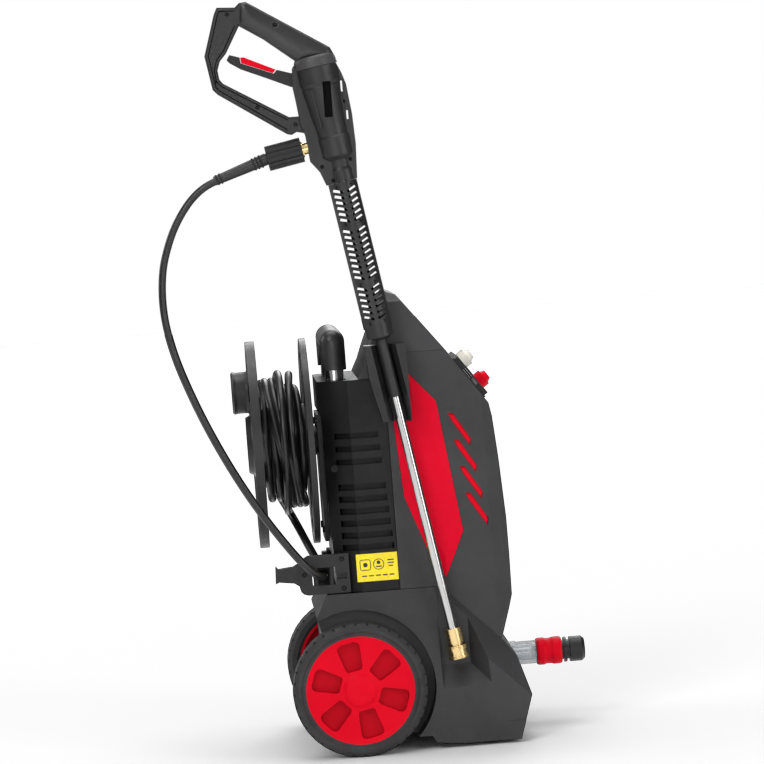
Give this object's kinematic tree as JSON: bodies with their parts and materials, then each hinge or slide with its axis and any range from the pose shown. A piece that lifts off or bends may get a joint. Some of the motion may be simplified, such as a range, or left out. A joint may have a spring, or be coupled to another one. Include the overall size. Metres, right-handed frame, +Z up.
{
  "type": "pressure washer",
  "caption": "Upright electric pressure washer on two wheels with telescopic handle, rear hose reel, stowed spray gun with lance, nozzle rack and front water inlet.",
  "frame": {"origin": "centre of the footprint of the machine without its hose, on the ground", "axes": "+Z up; front of the machine towards -Y; stowed gun on the -X side"},
  "size_m": [0.34, 0.5469, 1.018],
  "materials": {
    "dark_plastic": "fine textured moulding",
    "grey_plastic": "fine textured moulding",
    "black_plastic": "satin moulding",
    "red_plastic": "satin red moulding",
    "tyre": "matt, moulded tread",
    "hose": "smooth satin hose jacket",
    "steel": "drawn tube, lightly brushed",
    "chrome": "bright plated",
    "brass": "machined",
    "alloy": "as cast",
    "stator": "laminations and varnished copper",
    "label": "gloss film with neutral shapes",
    "clear": "clear polycarbonate",
    "white_plastic": "satin",
    "rubber": "matt"
  },
  "bodies": {
    "root": {"top_cover": "grey_plastic", "front_cover": "dark_plastic", "rear_cover": "black_plastic", "base_housing": "dark_plastic", "side_panels": "red_plastic", "vent_inserts": "red_plastic", "lance_holder": "black_plastic", "hose_guide": "black_plastic", "cord_hook": "black_plastic", "cord_gland": "black_plastic", "label_plate": "label", "nozzle_rack": "black_plastic", "axle": "steel", "axle_clips": "steel", "foot_pads": "rubber", "reel_bracket": "black_plastic", "motor_case": "alloy", "stator_core": "stator", "motor_bearings": "steel", "capacitor": "alloy", "pump_body": "alloy", "pump_head": "brass", "pistons": "steel", "unloader_valve": "brass", "switch_box": "black_plastic", "supply_hose": "hose", "inlet_filter": "clear", "filter_mesh": "steel", "hose_connector": "black_plastic", "housing_screws": "steel", "hose_lead": "hose"},
    "wheel_left": {"tyre_left": "tyre", "rim_left": "red_plastic"},
    "wheel_right": {"tyre_right": "tyre", "rim_right": "red_plastic"},
    "reel": {"flange_outer": "black_plastic", "reel_drum": "black_plastic", "hose_coil": "hose"},
    "crank": {"crank_knob": "black_plastic"},
    "handle": {"handle_tubes": "chrome", "handle_grip": "black_plastic"},
    "gun": {"gun_shell_left": "black_plastic", "gun_shell_right": "black_plastic", "barrel_cover": "grey_plastic", "handguard": "black_plastic", "lance_tube": "chrome", "coupler_body": "brass", "gun_inlet": "brass", "hose_relief": "rubber"},
    "trigger": {"trigger": "black_plastic"},
    "latch": {"safety_latch": "red_plastic"},
    "hose_nut": {"hose_nut": "black_plastic"},
    "coupler_sleeve": {"coupler_sleeve": "brass"},
    "roller_front": {"roller_front": "black_plastic"},
    "roller_rear": {"roller_rear": "black_plastic"},
    "power_knob": {"power_knob": "red_plastic"},
    "nozzle_fan": {"nozzle_fan": "white_plastic"},
    "nozzle_jet": {"nozzle_jet": "red_plastic"},
    "rotor": {"rotor": "steel"},
    "connector_collar": {"connector_collar": "red_plastic"}
  },
  "joints": [
    {"name": "wheel_left_spin", "type": "hinge", "parent": "root", "child": "wheel_left", "pos_m": [-0.147, 0.0885, 0.09], "axis": [1, 0, 0], "continuous": true},
    {"name": "wheel_right_spin", "type": "hinge", "parent": "root", "child": "wheel_right", "pos_m": [0.147, 0.0885, 0.09], "axis": [1, 0, 0], "continuous": true},
    {"name": "reel_spin", "type": "hinge", "parent": "root", "child": "reel", "pos_m": [0, 0.1635, 0.418], "axis": [0, 1, 0], "continuous": true},
    {"name": "crank_spin", "type": "hinge", "parent": "reel", "child": "crank", "pos_m": [0, 0.2165, 0.491], "axis": [0, 1, 0], "continuous": true},
    {"name": "handle_slide", "type": "slide", "parent": "root", "child": "handle", "axis": [0, 0, 1], "range_m": [0, 0.24]},
    {"name": "gun_lift", "type": "slide", "parent": "root", "child": "gun", "axis": [0, 0.1652, 0.9863], "range_m": [0, 0.1]},
    {"name": "trigger_pull", "type": "hinge", "parent": "gun", "child": "trigger", "pos_m": [-0.14, 0.1085, 0.912], "axis": [1, 0, 0], "range_deg": [0, 12], "stiffness_Nm_per_rad": 0.6},
    {"name": "latch_flip", "type": "hinge", "parent": "trigger", "child": "latch", "pos_m": [-0.14, 0.1385, 0.923], "axis": [1, 0, 0], "range_deg": [0, 15]},
    {"name": "hose_nut_turn", "type": "hinge", "parent": "gun", "child": "hose_nut", "pos_m": [-0.14, 0.1105, 0.817], "axis": [0, 0.9829, -0.184], "continuous": true},
    {"name": "coupler_pull", "type": "slide", "parent": "gun", "child": "coupler_sleeve", "axis": [0, 0.1652, 0.9863], "range_m": [0, 0.006], "stiffness_N_per_m": 500},
    {"name": "roller_front_spin", "type": "hinge", "parent": "root", "child": "roller_front", "pos_m": [-0.108, 0.1141, 0.241], "axis": [0, 0, 1], "continuous": true},
    {"name": "roller_rear_spin", "type": "hinge", "parent": "root", "child": "roller_rear", "pos_m": [-0.108, 0.1349, 0.241], "axis": [0, 0, 1], "continuous": true},
    {"name": "power_switch", "type": "hinge", "parent": "root", "child": "power_knob", "pos_m": [0, -0.1115, 0.33], "axis": [0, -1, 0], "range_deg": [0, 90]},
    {"name": "nozzle_fan_pull", "type": "slide", "parent": "root", "child": "nozzle_fan", "axis": [0, -0.8187, 0.5743], "range_m": [0, 0.03]},
    {"name": "nozzle_jet_pull", "type": "slide", "parent": "root", "child": "nozzle_jet", "axis": [0, -0.8187, 0.5743], "range_m": [0, 0.03]},
    {"name": "motor_spin", "type": "hinge", "parent": "root", "child": "rotor", "pos_m": [0, -0.0065, 0.335], "axis": [0, 0, 1], "continuous": true},
    {"name": "collar_pull", "type": "slide", "parent": "root", "child": "connector_collar", "axis": [0, -1, 0], "range_m": [0, 0.0035], "stiffness_N_per_m": 600}
  ]
}
